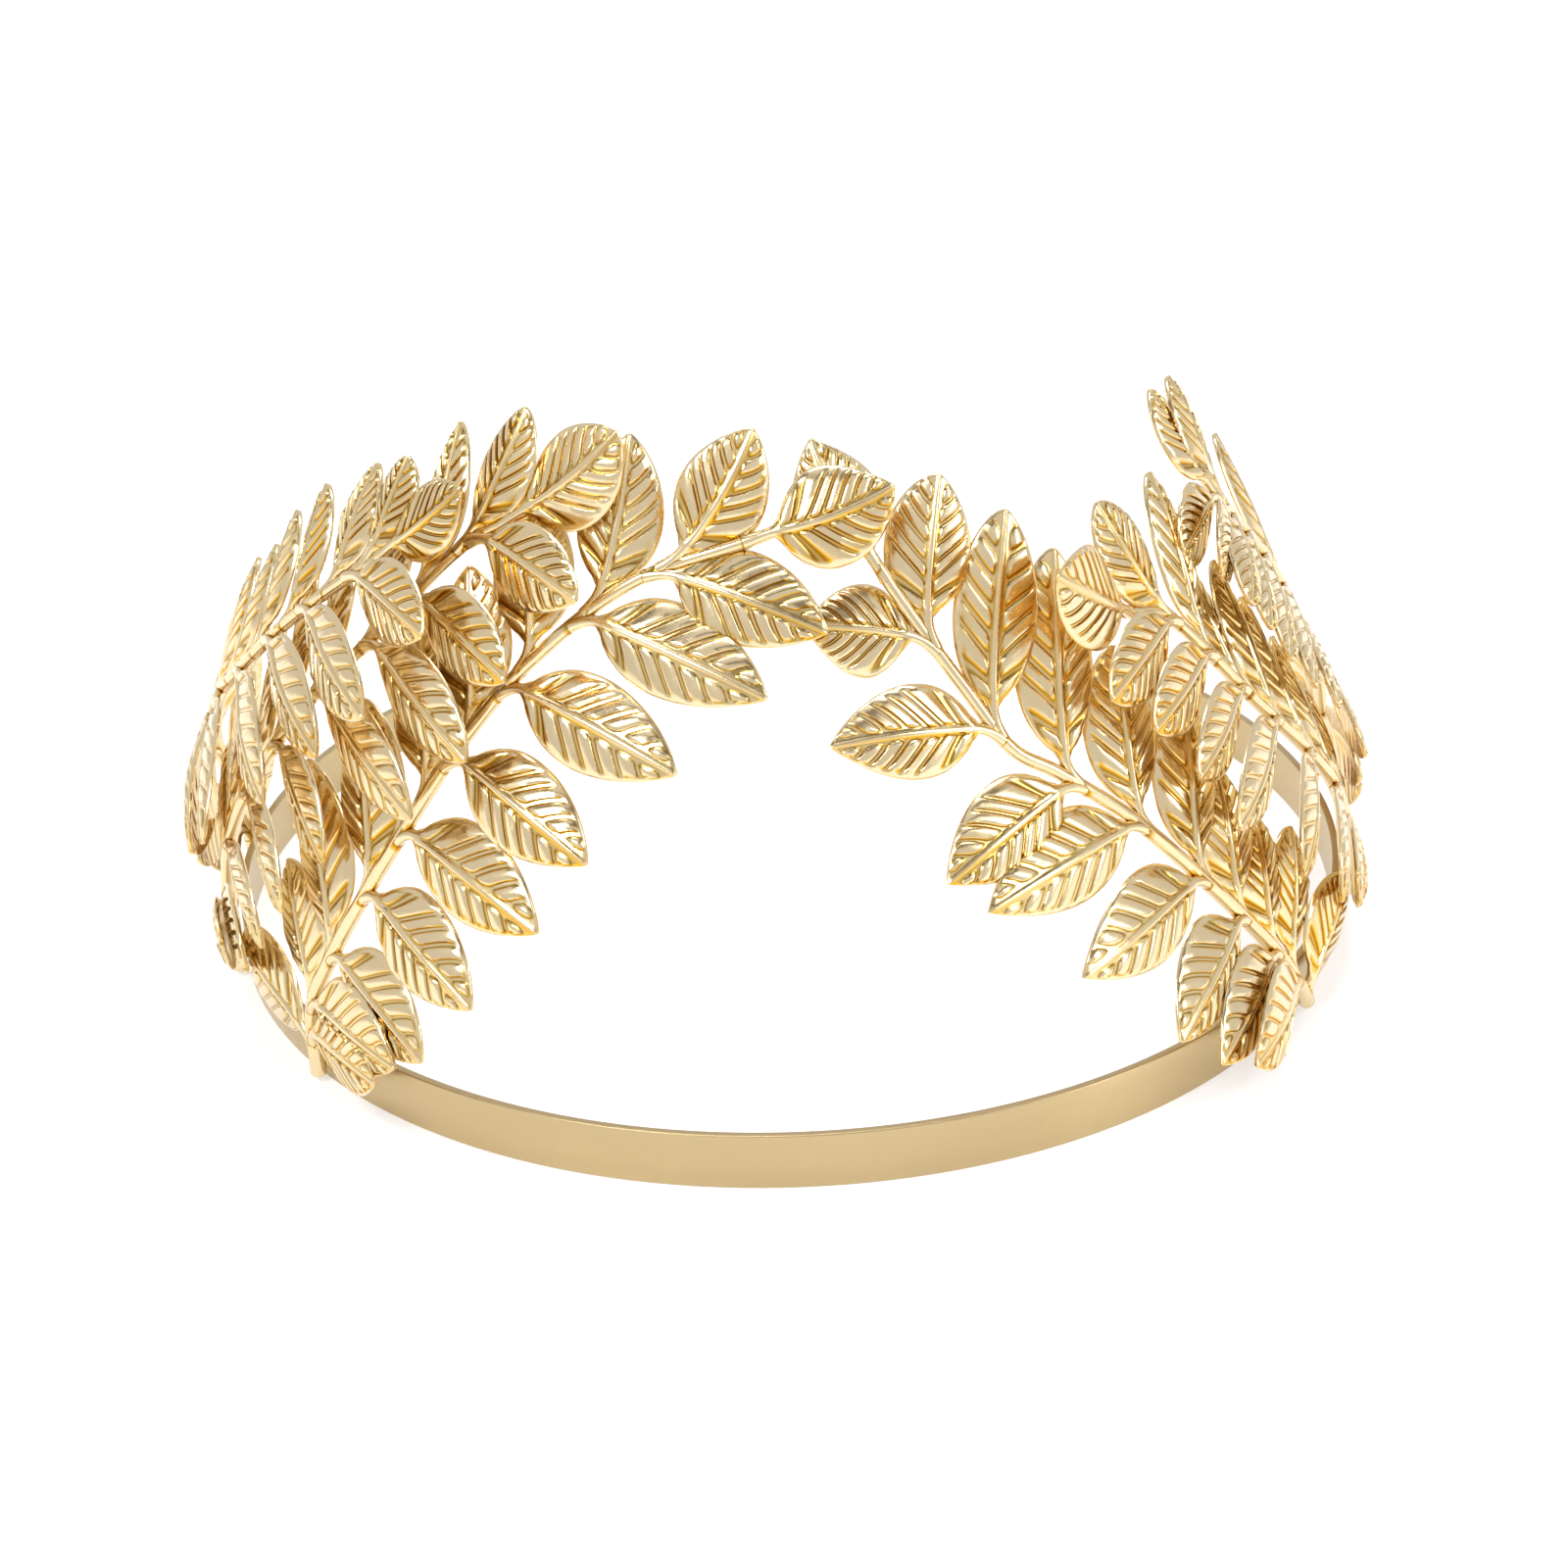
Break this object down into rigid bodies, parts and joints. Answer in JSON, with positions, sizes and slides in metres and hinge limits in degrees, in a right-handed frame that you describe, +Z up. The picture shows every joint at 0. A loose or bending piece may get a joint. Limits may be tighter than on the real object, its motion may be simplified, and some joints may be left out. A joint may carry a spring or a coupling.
{
  "type": "leaf headband",
  "caption": "Gilt hoop headband with curved leafy sprigs that rise from both sides and meet over the forehead.",
  "frame": {"origin": "centre of the hoop's circle, in the plane of the band's lower edge on which the headband rests", "axes": "+Z up along the hoop's axis, +X to the wearer's left as seen from the front, -Y towards the front"},
  "size_m": [0.1537, 0.1238, 0.0843],
  "materials": {
    "band": "satin",
    "leaves": "polished"
  },
  "bodies": {
    "root": {"band": "band", "left_front_sprig": "leaves", "left_middle_sprig": "leaves", "left_back_sprig": "leaves", "right_front_sprig": "leaves", "right_middle_sprig": "leaves", "right_back_sprig": "leaves"}
  },
  "joints": []
}
